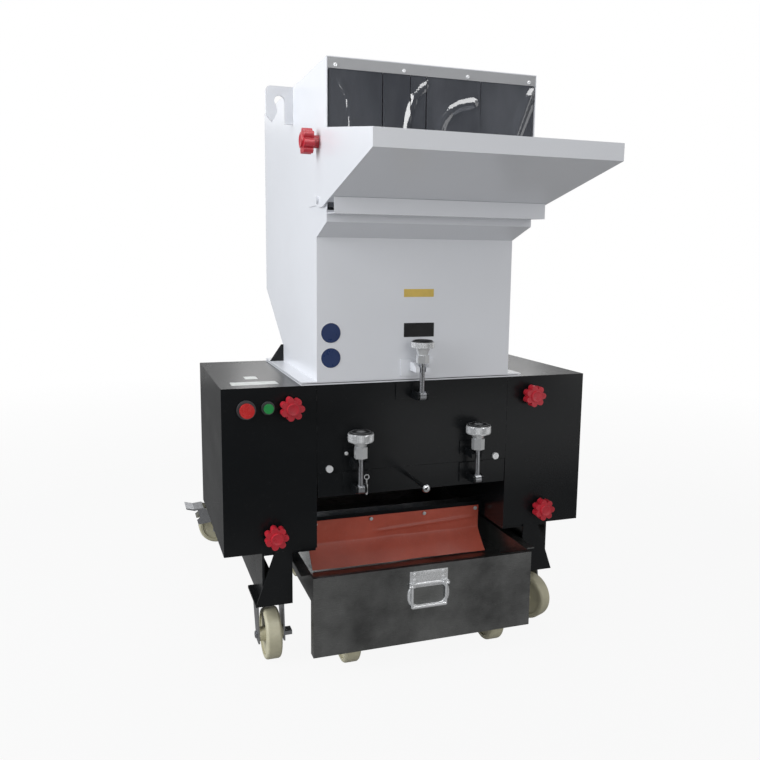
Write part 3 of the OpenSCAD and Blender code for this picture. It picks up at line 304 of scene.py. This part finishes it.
class Shape:
    """Gathers the solids of one piece, and makes its object."""

    def __init__(self):
        self.mesh = bmesh.new()

    def lathe(self, origin, axis, profile, steps=32, knurl=None):
        """A closed solid turned about axis: profile is (radius, distance along it) from end to end."""
        side = axis.orthogonal().normalized()
        across = axis.cross(side)
        rings = []
        for i, (radius, along) in enumerate(profile):
            if radius == 0:
                rings.append([self.mesh.verts.new(origin + axis * along)] * steps)
                continue
            ring = []
            for j in range(steps):
                turn = 2 * math.pi * j / steps
                reach = radius * (knurl(i, j) if knurl else 1)
                ray = side * math.cos(turn) + across * math.sin(turn)
                ring.append(self.mesh.verts.new(origin + axis * along + ray * reach))
            rings.append(ring)
        for low, high in zip(rings, rings[1:]):
            for j in range(steps):
                k = (j + 1) % steps
                corners = list(dict.fromkeys((low[j], low[k], high[k], high[j])))
                if len(corners) > 2:
                    self.mesh.faces.new(corners)
        for ring in (rings[0], rings[-1]):
            if len(set(ring)) > 1:
                self.mesh.faces.new(ring)

    def prism(self, outline, depth):
        """A closed solid from a flat outline of points, pushed along depth."""
        near = [self.mesh.verts.new(p) for p in outline]
        far = [self.mesh.verts.new(p + depth) for p in outline]
        self.mesh.faces.new(near)
        self.mesh.faces.new(far)
        for i in range(len(near)):
            j = (i + 1) % len(near)
            self.mesh.faces.new((near[i], near[j], far[j], far[i]))

    def block(self, low, high):
        corners = ((low.x, low.y), (high.x, low.y), (high.x, high.y), (low.x, high.y))
        self.prism([Vector((x, y, low.z)) for x, y in corners], UP * (high.z - low.z))

    def tube(self, path, radius, steps=12, shut=False):
        """A round bar through the points of path."""
        rings = []
        count = len(path)
        side = None
        for i, spot in enumerate(path):
            before = path[(i - 1) % count] if shut or i else spot
            after = path[(i + 1) % count] if shut or i < count - 1 else spot
            ahead = (after - before).normalized()
            side = (side - ahead * side.dot(ahead) if side else ahead.orthogonal()).normalized()
            points = circle(spot, side, ahead.cross(side), radius, steps)
            rings.append([self.mesh.verts.new(p) for p in points])
        for low, high in zip(rings, rings[1:] + (rings[:1] if shut else [])):
            for j in range(steps):
                k = (j + 1) % steps
                self.mesh.faces.new((low[j], low[k], high[k], high[j]))
        if not shut:
            self.mesh.faces.new(rings[0])
            self.mesh.faces.new(rings[-1])

    def skin(self, rows, thick):
        """A thin closed sheet: rows of points for its front, and its back thick behind them."""
        front = [[self.mesh.verts.new(p) for p in row] for row in rows]
        back = [[self.mesh.verts.new(p + thick) for p in row] for row in rows]
        last_row, last = len(rows) - 1, len(rows[0]) - 1
        for side in (front, back):
            for i in range(last_row):
                for j in range(last):
                    corners = side[i][j], side[i][j + 1], side[i + 1][j + 1], side[i + 1][j]
                    self.mesh.faces.new(corners)
        rim = [(0, j) for j in range(last)] + [(i, last) for i in range(last_row)]
        rim += [(last_row, j) for j in range(last, 0, -1)] + [(i, 0) for i in range(last_row, 0, -1)]
        for (a, b), (c, d) in zip(rim, rim[1:] + rim[:1]):
            self.mesh.faces.new((front[a][b], front[c][d], back[c][d], back[a][b]))

    def done(self, name, material, body, slot, bevel=0.0, sharp=35.0):
        """Rounds the hard edges if asked, smooths the rest, and makes the piece's object."""
        mesh = self.mesh
        bmesh.ops.recalc_face_normals(mesh, faces=mesh.faces)
        limit = math.radians(sharp)
        if bevel:
            hard = [e for e in mesh.edges if len(e.link_faces) == 2 and e.calc_face_angle() > limit]
            bmesh.ops.bevel(mesh, geom=hard, offset=bevel, segments=2, affect="EDGES", profile=0.5)
            bmesh.ops.recalc_face_normals(mesh, faces=mesh.faces)
        for face in mesh.faces:
            face.smooth = True
        for edge in mesh.edges:
            edge.smooth = len(edge.link_faces) == 2 and edge.calc_face_angle() < limit
        data = bpy.data.meshes.new(name)
        mesh.to_mesh(data)
        mesh.free()
        data.materials.append(material)
        obj = bpy.data.objects.new(name, data)
        bpy.context.scene.collection.objects.link(obj)
        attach(obj, body)
        return obj


def bump_at(x, z, path, width):
    """How strongly a crease that runs along path lifts the sheet at a place, from 0 to 1."""
    nearest = 1e9
    for (ax, az), (bx, bz) in zip(path, path[1:]):
        run = (bx - ax) ** 2 + (bz - az) ** 2
        t = min(1, max(0, ((x - ax) * (bx - ax) + (z - az) * (bz - az)) / run))
        nearest = min(nearest, math.hypot(x - ax - t * (bx - ax), z - az - t * (bz - az)))
    return math.exp(-((nearest / width) ** 2))


# The clear curtain in the hopper's mouth, five strips under the clamp strip
STRIP_SPLITS = (-124, -60, -22, 110)
STRIP_GAP = 0.8
STRIP_LINES = 56
STRIP_THICK = 1.4
CREASES = (  # the path of each crease as (x, z), its width and its height
    (((-219, 1358), (-200, 1322), (-194, 1268), (-196, 1180)), 4.5, 2.0),
    (((-20, 1372), (-26, 1362), (-50, 1335), (-61, 1300), (-65, 1271), (-68, 1180)), 7.5, 4.7),
    (((92, 1333), (60, 1326), (37, 1313), (20, 1292), (13, 1276), (4, 1180)), 8.5, 5.8),
    (((240, 1375), (221, 1325), (202, 1274), (190, 1180)), 10, 6.8),
)


def strip_bulge(x, z, across, k):
    """How far strip k stands forward at a place, with across from -1 to 1 over its width."""
    lift = min(1, max(0, (1380 - z) / 22)) * sum(
        bump_at(x, z, path, width) * height for path, width, height in CREASES
    )
    wave = 1.6 * math.sin(x / 23 + z / 210 + k) + 1.1 * math.sin(x / 41 - z / 90 + 2 * k)
    curl = 1.5 * across**2 * (1 if k % 2 else -1)
    return lift + (wave * 0.5 + curl) * min(1, max(0, (1378 - z) / 90))


def mouth_curtain():
    low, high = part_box("mouth_curtain")
    left, right = low.x * 1000, high.x * 1000
    top, bottom = high.z * 1000, low.z * 1000
    depth = low.y - at(0, 0, 0).y
    shape = Shape()
    edges = [left, *STRIP_SPLITS, right]
    for k, (x0, x1) in enumerate(zip(edges, edges[1:])):
        columns = max(6, round((x1 - x0) / 5))
        rows = []
        for i in range(STRIP_LINES + 1):
            z = top + (bottom - top) * i / STRIP_LINES
            row = []
            for j in range(columns + 1):
                x = x0 + STRIP_GAP + (x1 - x0 - 2 * STRIP_GAP) * j / columns
                bulge = strip_bulge(x, z, 2 * j / columns - 1, k)
                row.append(at(x, 0, z) + Y_AXIS * (depth - mm(bulge)))
            rows.append(row)
        shape.skin(rows, Y_AXIS * mm(STRIP_THICK))
    obj = shape.done("mouth_curtain_strips", FINISHES["clear_pvc"], "hopper", "clear_pvc", sharp=60)
    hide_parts("mouth_curtain")


# The orange rubber sheet over the bin's mouth
SPLASH_COLUMNS, SPLASH_LINES = 60, 48
SPLASH_THICK = 2.4
SPLASH_BEND = 0.47  # how far up its height the sheet bends forward
SPLASH_CREASE = ((0.42, 0.62), (0.62, 0.66), (0.93, 0.72))  # as shares of its width and height


def splash_curtain():
    low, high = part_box("splash_curtain")
    mesh = NODES["splash_curtain"].data
    left, right = low.x, high.x
    top = high.z
    front_at_top = min(v.co.y for v in mesh.vertices if v.co.z > top - 0.002)
    bend_z = low.z + (high.z - low.z) * SPLASH_BEND
    shape = Shape()
    rows = []
    for i in range(SPLASH_LINES + 1):
        z = top + (low.z - top) * i / SPLASH_LINES
        down = max(0.0, (bend_z - z) / (bend_z - low.z))
        lean = (front_at_top - low.y) * down**1.25
        row = []
        for j in range(SPLASH_COLUMNS + 1):
            x = left + (right - left) * j / SPLASH_COLUMNS
            share = (x - left) / (right - left)
            crease = bump_at(share, (z - low.z) / (high.z - low.z), SPLASH_CREASE, 0.035)
            wave = 0.0013 * math.sin(share * 11 + z * 20) + 0.0009 * math.sin(share * 23 - z * 44)
            ripple = 0.0028 * crease + wave * min(1, (top - z) / 0.05)
            row.append(Vector((x, front_at_top - lean * 0.98 - ripple, z)))
        rows.append(row)
    shape.skin(rows, Y_AXIS * mm(SPLASH_THICK))
    obj = shape.done("splash_sheet", FINISHES["curtain_rubber"], "frame", "curtain_rubber", sharp=60)
    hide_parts("splash_curtain")


mouth_curtain()
splash_curtain()


# Screws, films and small parts
HEAD_STEPS = 24
HEAD_PROFILE = ((1.0, 0.0), (1.0, 0.45), (0.9, 0.8), (0.75, 1.0))  # shares of a head's radius and height


def plus_outline(reach, half):
    """The corners of a cross recess, from the middle of the head."""
    spots = []
    for turn in range(4):
        a = math.pi / 2 * turn
        for u, v in ((reach, -half), (reach, half), (half, half)):
            spots.append((u * math.cos(a) - v * math.sin(a), u * math.sin(a) + v * math.cos(a)))
    return spots


def hex_outline(reach):
    return [(reach * math.cos(math.pi / 3 * i), reach * math.sin(math.pi / 3 * i)) for i in range(6)]


def screw(name, spots, axis, radius, height, body, slot, cross=True):
    """Pan heads at spots, each with its cross or hexagon recess pressed in."""
    shape = Shape()
    mesh = shape.mesh
    side = axis.orthogonal().normalized()
    across = axis.cross(side)
    outline = plus_outline(0.62, 0.14) if cross else hex_outline(0.5)
    for spot in spots:
        rings = []
        for share, along in HEAD_PROFILE:
            points = circle(spot + axis * height * along, side, across, radius * share, HEAD_STEPS)
            rings.append([mesh.verts.new(p) for p in points])
        for one, two in zip(rings, rings[1:]):
            for j in range(HEAD_STEPS):
                k = (j + 1) % HEAD_STEPS
                mesh.faces.new((one[j], one[k], two[k], two[j]))
        mesh.faces.new(rings[0])
        top = spot + axis * height
        rim = [mesh.verts.new(top + (side * u + across * v) * radius) for u, v in outline]
        floor = [mesh.verts.new(v.co - axis * height * 0.6) for v in rim]
        edge = rings[-1]
        loop = [mesh.edges.new((rim[j - 1], rim[j])) for j in range(len(rim))]
        loop += [mesh.edges.get((edge[j - 1], edge[j])) for j in range(HEAD_STEPS)]
        bmesh.ops.triangle_fill(mesh, use_beauty=True, edges=loop)
        for j in range(len(rim)):
            mesh.faces.new((rim[j - 1], rim[j], floor[j], floor[j - 1]))
        mesh.faces.new(floor)
    return shape.done(name, BRIGHT_STEEL, body, slot)


def film(name, center, normal, up, half_size, body, material, slot, round_share=0.12, thick=0.35):
    """A thin stuck-on film with rounded corners."""
    half_w, half_h = half_size
    right = up.cross(normal).normalized()
    corner = min(half_w, half_h) * round_share
    outline = []
    for u, v in rounded_corners(half_w, half_h, corner, 8 if round_share > 0.9 else 3):
        spot = center + right * u + up * v
        if not outline or (spot - outline[-1]).length > 1e-6:
            outline.append(spot)
    if (outline[0] - outline[-1]).length < 1e-6:
        outline.pop()
    shape = Shape()
    shape.prism(outline, normal * mm(thick))
    return shape.done(name, material, body, slot)


RIM_LIFT = FRONT * mm(0.3)
RIM_R, DISC_R = mm(25), mm(23.4)


def films():
    """The blank discs, strips and plates on the hopper's front and on the left box."""
    for k, z in enumerate((812, 753)):
        center = at(-216, 0, z)
        rim, disc = (RIM_R, RIM_R), (DISC_R, DISC_R)
        film(f"blue_disc_rim_{k + 1}", center, FRONT, UP, rim, "hopper", WHITE_FILM, "white_paint", 1.0)
        center += RIM_LIFT
        film(f"blue_disc_{k + 1}", center, FRONT, UP, disc, "hopper", BLUE_FILM, "black_paint", 1.0)
    size = mm(38.5), mm(9.5)
    film("yellow_strip", at(3, 0, 904), FRONT, UP, size, "hopper", YELLOW_FILM, "white_paint")
    size = mm(39), mm(17)
    film("black_strip", at(4.5, 0, 815), FRONT, UP, size, "hopper", BLACK_FILM_AND_PAINTED_SHADE, "black_paint", 0.06)
    for k, (x0, x1, y0, y1) in enumerate(((-441, -332, 41, 87), (-396, -366, 129, 170))):
        center = at((x0 + x1) / 2, (y0 + y1) / 2, 690)
        size = mm(x1 - x0) / 2, mm(y1 - y0) / 2
        film(f"top_strip_{k + 1}", center, UP, Y_AXIS, size, "frame", PALE_FILM, "white_paint")


films()
strip_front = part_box("mouth_strip")[0].y * 1000 + MIDDLE_Y
strip_spots = [at(x, strip_front + 0.2, 1389) for x in (-230.5, -76, 76, 230.5)]
screw("strip_screws", strip_spots, FRONT, mm(4.2), mm(2.4), "hopper", "chrome_trim")


# Knurled chrome bands and black caps of the swing bolts' hand nuts
BAND = [(0.8, 0), (1.0, 0), (1.03, 0.08), (1.03, 0.92), (1.0, 1), (0.8, 1)]
CAP = [(0.9, 0), (0.9, 2.4), (0.84, 4.0), (0.6, 5.0), (0.3, 4.2), (0, 4.0)]
HAND_NUTS = (("left_knob", -153, 559, 18, 30), ("right_knob", 153, 559, 18, 30), ("top_knob", 0, 776, 14, 27))
for body, x, low, tall, radius in HAND_NUTS:
    band = Shape()
    profile = [(mm(radius * r), mm(tall * h)) for r, h in BAND]
    band.lathe(at(x, -38, low), UP, profile, 96, lambda i, j: 1 - 0.03 * (j % 2))
    band.done(f"{body}_knurl", KNURLED, body, "chrome_trim", sharp=12)
    cap = Shape()
    cap.lathe(at(x, -38, low + tall - 0.4), UP, [(mm(radius * r), mm(h)) for r, h in CAP], 48)
    cap.done(f"{body}_cap", BLACK_FILM_AND_PAINTED_SHADE, body, "chrome_trim")


# The bin's folding handle: its plate, the dished ring under the bail with a darkened steel film that paints
# the shade in the dish, and the lugs the bail turns in
def bin_handle():
    face = -95
    plate = Shape()
    plate.block(at(-46, face - 2.2, 201), at(53, face, 242))
    for x in (-40, 47):
        plate.block(at(x - 7, face - 9, 203), at(x + 7, face - 2, 214))
    path = [at(3 + u, face - 1, 181 + v) for u, v in rounded_corners(50, 28, 24, 8)]
    plate.tube(path, mm(4.6), 12, shut=True)
    obj = plate.done("handle_mount", KNURLED, "bin", "chrome_trim", bevel=mm(0.7))
    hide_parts("handle_plate")
    size = mm(49), mm(27)
    # A flat film of darkened steel: painted shade for the hollow of the dish under the bail
    film("handle_dish", at(3, face, 181), FRONT, UP, size, "bin", DISH_PAINTED_SHADE, "stainless", 0.8, 0.9)
    rivets = [at(x, face - 2.2, z) for x in (-34, 41) for z in (222, 236)]
    screw("handle_rivets", rivets, FRONT, mm(3.4), mm(1.6), "bin", "chrome_trim")


def front_screws():
    pad = [at(-178.6, -4, 521.8)]
    screw("pad_screws", pad, FRONT, mm(4.5), mm(2.6), "frame", "zinc", cross=False)
    places = ((-178.4, 459.7), (-127.7, 465.5), (126.8, 462.8), (178.4, 459.7))
    cradle = [at(x, 0, z) for x, z in places]
    screw("cradle_screws", cradle, FRONT, mm(4.5), mm(2.6), "cradle", "zinc", cross=False)
    curtain = [at(x, 126.4, 304.5) for x in (-223, -72, 78.9, 230)]
    screw("curtain_screws", curtain, FRONT, mm(5.2), mm(2.4), "frame", "zinc")


def hanging_pin():
    """The small safety pin that hangs from the cradle by its eye."""
    shape = Shape()
    turns = (math.pi / 8 * i for i in range(16))
    eye = [at(-127 + 6 * math.cos(a), -4, 459 + 6 * math.sin(a)) for a in turns]
    shape.tube(eye, mm(1.1), 8, shut=True)
    pin = ((1.6, 0), (1.6, 12), (3.0, 13), (3.0, 34), (2.2, 38), (0, 39))
    shape.lathe(at(-127, -4, 453), -UP, mm_pairs(pin), 20)
    shape.done("hanging_pin", KNURLED, "cradle", "chrome_trim")


bin_handle()
front_screws()
hanging_pin()


# The dished faces of the star knobs
KNOB_RIM = [(0, 0), (14.6, 0), (14.6, 3.4), (13.9, 5.2), (12.4, 5.6), (11.0, 4.8), (9.2, 4.35), (0, 4.25)]
KNOB_FACE = 36  # from a cover to the flat of its star knob
KNOB_BOSS = 4


def knob_dish(body, face, axis):
    dish = Shape()
    dish.lathe(face, axis, mm_pairs(KNOB_RIM), 40)
    dish.done(f"{body}_dish", FINISHES["red_plastic"], body, "red_plastic", sharp=50)


for side, sign in (("left", -1), ("right", 1)):
    for level, x, z in (("upper", 314.5, 642), ("lower", 354, 337.5)):
        knob_dish(f"cover_knob_{level}_{side}", at(sign * x, -KNOB_FACE, z), FRONT)
    low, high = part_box(f"tray_knob_{side}")
    x = (low.x if sign < 0 else high.x) - sign * mm(KNOB_BOSS)
    face = Vector((x, (low.y + high.y) / 2, (low.z + high.z) / 2))
    knob_dish(f"tray_knob_{side}", face, Vector((sign, 0, 0)))


# The motor's fan guard with a black disc of painted shade behind it, box lid, foot flanges and lifting eye
MOTOR_LOW, MOTOR_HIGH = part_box("motor")
MOTOR_RIB_R = mm(124)
MOTOR_R = mm(118)
FAN_END = Vector((MOTOR_LOW.x, MOTOR_LOW.y + MOTOR_RIB_R, MOTOR_HIGH.z - MOTOR_RIB_R))
GUARD_WIRE = mm(2.6)
GUARD_RINGS = (24, 42, 60, 78, 96, 110)
GUARD_HUB = ((0, 0), (22, 0), (22, 5), (18, 6.5), (0, 6.5))
GUARD_RIM = ((112, 0), (118, 0), (118, 5), (114, 6.5), (111, 5))
# A thin black disc inside the guard's rim: painted shade for the fan cowl's interior
GUARD_PAINTED_SHADE = ((0, 0), (111, 0), (111, 0.8), (0, 0.8))
FOOT_BOLT = (
    (((0, 0), (13, 0), (13, 2.4), (0, 2.4)), 24),  # its washer
    (((0, 2), (9.5, 2), (9.5, 9), (8, 10), (0, 10)), 6),  # its hexagon head
)
EYE_SHANK = ((0, -4), (13, -4), (13, 8), (8, 12), (0, 12))


def motor_piece(shape, name, **settings):
    shape.done(name, FINISHES["motor_paint"], "frame", "motor_paint", **settings)


def fan_guard():
    guard = Shape()
    for radius in GUARD_RINGS:
        ring = circle(FAN_END + LEFT * mm(4), Y_AXIS, UP, mm(radius), 48)
        guard.tube(ring, GUARD_WIRE, 8, shut=True)
    for i in range(8):
        a = math.pi / 4 * i
        ray = Y_AXIS * math.cos(a) + UP * math.sin(a)
        guard.tube([FAN_END + ray * mm(r) + LEFT * mm(3) for r in (14, 60, 112)], GUARD_WIRE, 8)
    guard.lathe(FAN_END, LEFT, mm_pairs(GUARD_HUB), 32)
    guard.lathe(FAN_END, LEFT, mm_pairs(GUARD_RIM), 64)
    motor_piece(guard, "motor_fan_guard")
    # Painted shade: a black disc behind the guard where the cowl's inside would lie in shade
    shade = Shape()
    shade.lathe(FAN_END, LEFT, mm_pairs(GUARD_PAINTED_SHADE), 48)
    shade.done("motor_fan_painted_shade", BLACK_FILM_AND_PAINTED_SHADE, "frame", "motor_paint")


def box_lid():
    x0, x1 = MOTOR_LOW.x + mm(127), MOTOR_HIGH.x - mm(127)
    z0, z1 = FAN_END.z - mm(13), FAN_END.z + mm(73)
    face = MOTOR_HIGH.y + mm(5)
    lid = Shape()
    lid.block(Vector((x0, MOTOR_HIGH.y - mm(1), z0)), Vector((x1, face, z1)))
    motor_piece(lid, "motor_box_lid", bevel=mm(1.5))
    inset = mm(8)
    corners = [Vector((x, face, z)) for x in (x0 + inset, x1 - inset) for z in (z0 + inset, z1 - inset)]
    screw("motor_lid_screws", corners, Y_AXIS, mm(4), mm(2.4), "frame", "zinc")


def motor_feet():
    feet, heads = Shape(), Shape()
    top = MOTOR_LOW.z + mm(12)
    for x in (MOTOR_LOW.x + mm(80), MOTOR_HIGH.x - mm(80)):
        for sign in (-1, 1):
            y0, y1 = sorted(FAN_END.y + sign * mm(reach) for reach in (116, 150))
            feet.block(Vector((x - mm(24), y0, MOTOR_LOW.z)), Vector((x + mm(24), y1, top)))
            spot = Vector((x, FAN_END.y + sign * mm(134), top))
            for profile, steps in FOOT_BOLT:
                heads.lathe(spot, UP, mm_pairs(profile), steps)
    motor_piece(feet, "motor_foot_flanges", bevel=mm(1.5))
    heads.done("motor_foot_bolts", FINISHES["zinc"], "frame", "zinc", sharp=25)


def lifting_eye():
    eye = Shape()
    top = FAN_END + Vector(((MOTOR_HIGH.x - MOTOR_LOW.x) * 0.72, 0, MOTOR_R))
    eye.lathe(top, UP, mm_pairs(EYE_SHANK), 24)
    ring = circle(top + UP * mm(26), -LEFT, UP, mm(16), 24)
    eye.tube(ring, mm(4.5), 10, shut=True)
    eye.done("motor_lifting_eye", FINISHES["zinc"], "frame", "zinc")


fan_guard()
box_lid()
motor_feet()
lifting_eye()


# Studio
def area(name, place, size, power):
    """A rectangular light that looks at the middle of the object."""
    data = bpy.data.lights.new(name, "AREA")
    data.shape = "RECTANGLE"
    data.size, data.size_y = size
    data.energy = power
    obj = bpy.data.objects.new(name, data)
    spot = Vector(place)
    turn = (Vector((0, 0, 0.7)) - spot).to_track_quat("-Z", "Y").to_matrix().to_4x4()
    obj.matrix_world = Matrix.Translation(spot) @ turn
    bpy.context.scene.collection.objects.link(obj)
    return data


def backdrop_share(tree):
    """1 where a ray looks at the background, straight or in a reflection, and 0 where it gathers light."""
    rays = node(tree, "ShaderNodeLightPath").outputs
    share = rays["Is Camera Ray"]
    for kind in ("Is Glossy Ray", "Is Transmission Ray"):
        share = node(tree, "ShaderNodeMath", {0: share, 1: rays[kind]}, operation="MAXIMUM").outputs[0]
    return share


def plane(name, corners, material):
    """A flat sheet that belongs to the studio."""
    mesh = bpy.data.meshes.new(name)
    mesh.from_pydata(corners, [], [(0, 1, 2, 3)])
    mesh.materials.append(material)
    obj = bpy.data.objects.new(name, mesh)
    bpy.context.scene.collection.objects.link(obj)
    return obj


def flat_corners(x0, x1, y0, y1, z):
    return [(x0, y0, z), (x1, y0, z), (x1, y1, z), (x0, y1, z)]


def card(name, corners, shade):
    """A grey studio card of an even brightness, which only reflections see."""
    made = Finish(name, Roughness=1.0, Emission_Strength=shade)
    made.shader.inputs["Base Color"].default_value = (0, 0, 0, 1)
    made.shader.inputs["Emission Color"].default_value = (1, 1, 1, 1)
    obj = plane(name, corners, made.material)
    obj.visible_camera = obj.visible_diffuse = obj.visible_shadow = False
    obj.visible_transmission = False


WALLS = (  # from one foot to the other, with the top's height, and the shade
    ("front_card", (-1.3, -1.15, 0.02), (2.8, -1.15, 1.9), 0.035),
    ("left_card", (-2.6, -1.4, 0.02), (-2.6, 4.2, 2.6), 0.2),
    ("back_card", (-2.6, 4.2, 0.02), (3.4, 4.2, 2.0), 0.3),
    ("right_card", (3.4, 4.2, 0.02), (3.4, -1.4, 2.4), 0.35),
    ("strip_left", (-0.55, -1.14, 1.2), (-0.24, -1.14, 1.85), 9.0),
    ("strip_right", (0.95, -1.14, 0.5), (1.9, -1.14, 1.85), 1.5),
    ("strip_middle", (0.22, -1.14, 0.5), (0.62, -1.14, 1.85), 0.085),
    ("strip_top", (-0.8, -1.14, 1.92), (1.1, -1.14, 2.7), 7.0),
    ("strip_low", (0.2, -1.14, 0.15), (1.3, -1.14, 0.5), 0.8),
)
AMBIENT = 0.42
FLOOR_GLOW = 0.92


def world():
    made = bpy.data.worlds.new("studio")
    bpy.context.scene.world = made
    made.use_nodes = True
    tree = made.node_tree
    sky = tree.nodes["Background"]
    sky.inputs["Color"].default_value = (1, 1, 1, 1)
    values = {0: backdrop_share(tree), 3: AMBIENT, 4: 1.0}
    tree.links.new(node(tree, "ShaderNodeMapRange", values).outputs[0], sky.inputs["Strength"])


def floor():
    """A pale floor that glows where it is looked at, and fades out far from the object."""
    made = Finish("floor", Roughness=0.85)
    made.link(made.blend(made.noise(2.0), rgb((0.33, 0.33, 0.33)), rgb((0.35, 0.35, 0.35))), "Base Color")
    tree = made.tree
    glow = node(tree, "ShaderNodeEmission", {"Color": (1, 1, 1, 1), "Strength": 1.0}).outputs[0]
    lit = made.calc("MULTIPLY", backdrop_share(tree), FLOOR_GLOW)
    seen = node(tree, "ShaderNodeMixShader", {0: lit, 1: made.shader.outputs[0], 2: glow}).outputs[0]
    reach = node(tree, "ShaderNodeVectorMath", {0: made.place}, operation="LENGTH").outputs["Value"]
    fade = made.spread(reach, 1.6, 4.5, 0.0, 1.0)
    clear = node(tree, "ShaderNodeBsdfTransparent").outputs[0]
    surface = node(tree, "ShaderNodeMixShader", {0: fade, 1: seen, 2: clear}).outputs[0]
    tree.links.new(surface, tree.nodes["Material Output"].inputs["Surface"])
    plane("floor", flat_corners(-6, 6, -6, 6, 0), made.material)


def studio():
    world()
    floor()
    for name, (x0, y0, z0), (x1, y1, z1), shade in WALLS:
        card(name, [(x0, y0, z0), (x1, y1, z0), (x1, y1, z1), (x0, y0, z1)], shade)
    card("ground_card", flat_corners(-7, 7, -7, 7, 0.0004), 0.26)
    card("side_ground_card", flat_corners(-2.6, -0.5, -0.8, 4.2, 0.0008), 0.13)
    area("left_light", (-3.6, -0.6, 1.9), (2.6, 2.6), 118).color = (0.94, 0.965, 1.0)
    area("top_light", (-0.5, -0.3, 4.2), (3.0, 3.0), 42)
    area("back_light", (1.2, 3.4, 2.4), (2.4, 2.0), 26)
    area("front_light", (0.9, -4.2, 1.5), (2.2, 2.2), 30)


studio()
bpy.context.scene.view_settings.view_transform = "Standard"
